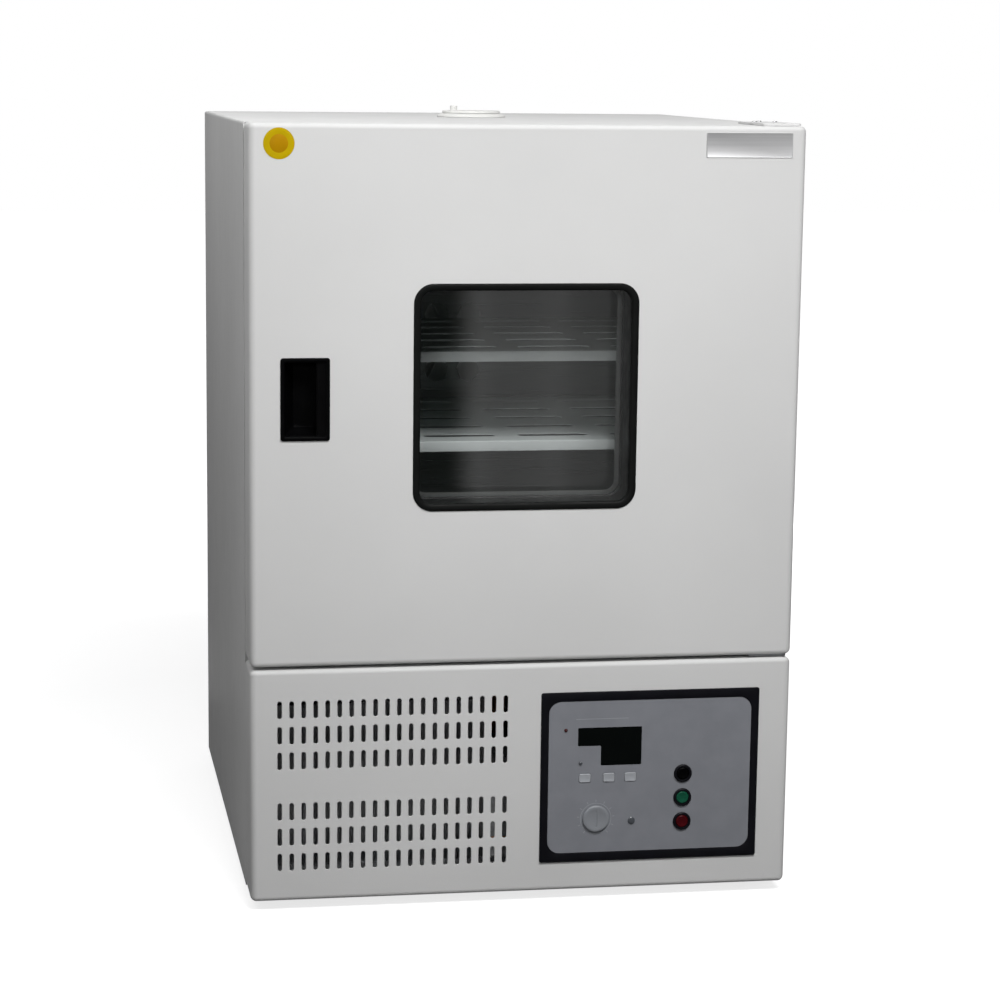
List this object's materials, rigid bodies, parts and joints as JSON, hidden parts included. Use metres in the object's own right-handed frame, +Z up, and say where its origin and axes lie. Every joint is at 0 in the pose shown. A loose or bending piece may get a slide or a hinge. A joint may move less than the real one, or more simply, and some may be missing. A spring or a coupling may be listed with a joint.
{
  "type": "refrigerated incubator",
  "caption": "Bench-top cooled incubator cabinet with a glazed hinged door, recessed pull, slotted front grille, control panel, chamber shelves and an internal cooling circuit.",
  "frame": {"origin": "centre of the cabinet's footprint, on the surface that its feet stand on", "axes": "+Z up; -Y out of the door and control panel; +X towards the hinge side, seen from the front on the right"},
  "size_m": [0.62, 0.7045, 0.8941],
  "materials": {
    "cabinet_paint": "satin",
    "stainless": "satin",
    "galvanised": "satin",
    "aluminium": "satin",
    "copper": "satin",
    "black_enamel": "gloss",
    "black_plastic": "satin",
    "green_plastic": "gloss",
    "red_plastic": "gloss",
    "control_plate": "satin",
    "key_plastic": "satin",
    "display": "polished",
    "rubber": "matte",
    "glass": "polished",
    "foam": "matte",
    "white_plastic": "satin"
  },
  "bodies": {
    "cabinet": {"base_pan": "galvanised", "foot_front_left": "rubber", "foot_front_right": "rubber", "foot_rear_left": "rubber", "foot_rear_right": "rubber", "outer_casing": "cabinet_paint", "rear_panel": "cabinet_paint", "rear_service_cover": "cabinet_paint", "compartment_deck": "galvanised", "chamber_insulation": "foam", "chamber_liner": "stainless", "front_frame": "cabinet_paint", "shelf_rack_left": "stainless", "shelf_rack_right": "stainless", "shelf_lower": "stainless", "shelf_upper": "stainless", "air_baffle": "stainless", "evaporator": "aluminium", "heater_element": "stainless", "circulation_fan_motor": "galvanised", "temperature_probe": "stainless", "drain_tube": "white_plastic", "condensate_pan": "white_plastic", "compressor": "black_enamel", "condenser": "aluminium", "condenser_fan_shroud": "galvanised", "liquid_line": "copper", "discharge_line": "copper", "suction_line": "copper", "lower_fascia": "cabinet_paint", "panel_bezel": "black_plastic", "panel_plate": "control_plate", "display_window": "display", "controller_housing": "black_plastic", "power_inlet": "black_plastic", "hinge_bracket_top": "cabinet_paint", "hinge_bracket_bottom": "galvanised", "vent_collar": "white_plastic", "switch_body_black": "black_plastic", "switch_body_green": "black_plastic", "switch_body_red": "black_plastic"},
    "door": {"door_shell": "cabinet_paint", "door_insulation": "foam", "door_inner_panel": "stainless", "door_gasket": "rubber", "window_trim": "rubber", "window_outer_glass": "glass", "window_inner_glass": "glass", "window_spacer": "black_plastic", "handle_cup": "black_plastic"},
    "button_black": {"button_black": "black_plastic"},
    "button_green": {"button_green": "green_plastic"},
    "button_red": {"button_red": "red_plastic"},
    "key_left": {"key_left": "key_plastic"},
    "key_middle": {"key_middle": "key_plastic"},
    "key_right": {"key_right": "key_plastic"},
    "limit_dial": {"limit_dial": "control_plate"},
    "vent_damper": {"vent_damper": "white_plastic"},
    "circulation_fan": {"circulation_fan": "aluminium"},
    "condenser_fan": {"condenser_fan": "black_plastic"}
  },
  "joints": [
    {"name": "door_hinge", "type": "hinge", "parent": "cabinet", "child": "door", "pos_m": [0.296, -0.318, 0.581], "axis": [0, 0, 1], "range_deg": [0, 120]},
    {"name": "button_black_press", "type": "slide", "parent": "cabinet", "child": "button_black", "axis": [0, 1, 0], "range_m": [0, 0.0025], "stiffness_N_per_m": 400, "springref_m": -0.002},
    {"name": "button_green_press", "type": "slide", "parent": "cabinet", "child": "button_green", "axis": [0, 1, 0], "range_m": [0, 0.0025], "stiffness_N_per_m": 400, "springref_m": -0.002},
    {"name": "button_red_press", "type": "slide", "parent": "cabinet", "child": "button_red", "axis": [0, 1, 0], "range_m": [0, 0.0025], "stiffness_N_per_m": 400, "springref_m": -0.002},
    {"name": "key_left_press", "type": "slide", "parent": "cabinet", "child": "key_left", "axis": [0, 1, 0], "range_m": [0, 0.0008], "stiffness_N_per_m": 600, "springref_m": -0.0008},
    {"name": "key_middle_press", "type": "slide", "parent": "cabinet", "child": "key_middle", "axis": [0, 1, 0], "range_m": [0, 0.0008], "stiffness_N_per_m": 600, "springref_m": -0.0008},
    {"name": "key_right_press", "type": "slide", "parent": "cabinet", "child": "key_right", "axis": [0, 1, 0], "range_m": [0, 0.0008], "stiffness_N_per_m": 600, "springref_m": -0.0008},
    {"name": "limit_dial_turn", "type": "hinge", "parent": "cabinet", "child": "limit_dial", "pos_m": [0.0845, -0.3495, 0.096], "axis": [0, 1, 0], "range_deg": [-140, 140]},
    {"name": "vent_damper_turn", "type": "hinge", "parent": "cabinet", "child": "vent_damper", "pos_m": [0, 0.062, 0.8851], "axis": [0, 0, 1], "range_deg": [0, 60]},
    {"name": "circulation_fan_spin", "type": "hinge", "parent": "cabinet", "child": "circulation_fan", "pos_m": [0, 0.26, 0.587], "axis": [0, 1, 0], "continuous": true},
    {"name": "condenser_fan_spin", "type": "hinge", "parent": "cabinet", "child": "condenser_fan", "pos_m": [-0.15, -0.1967, 0.1135], "axis": [0, 1, 0], "continuous": true}
  ]
}
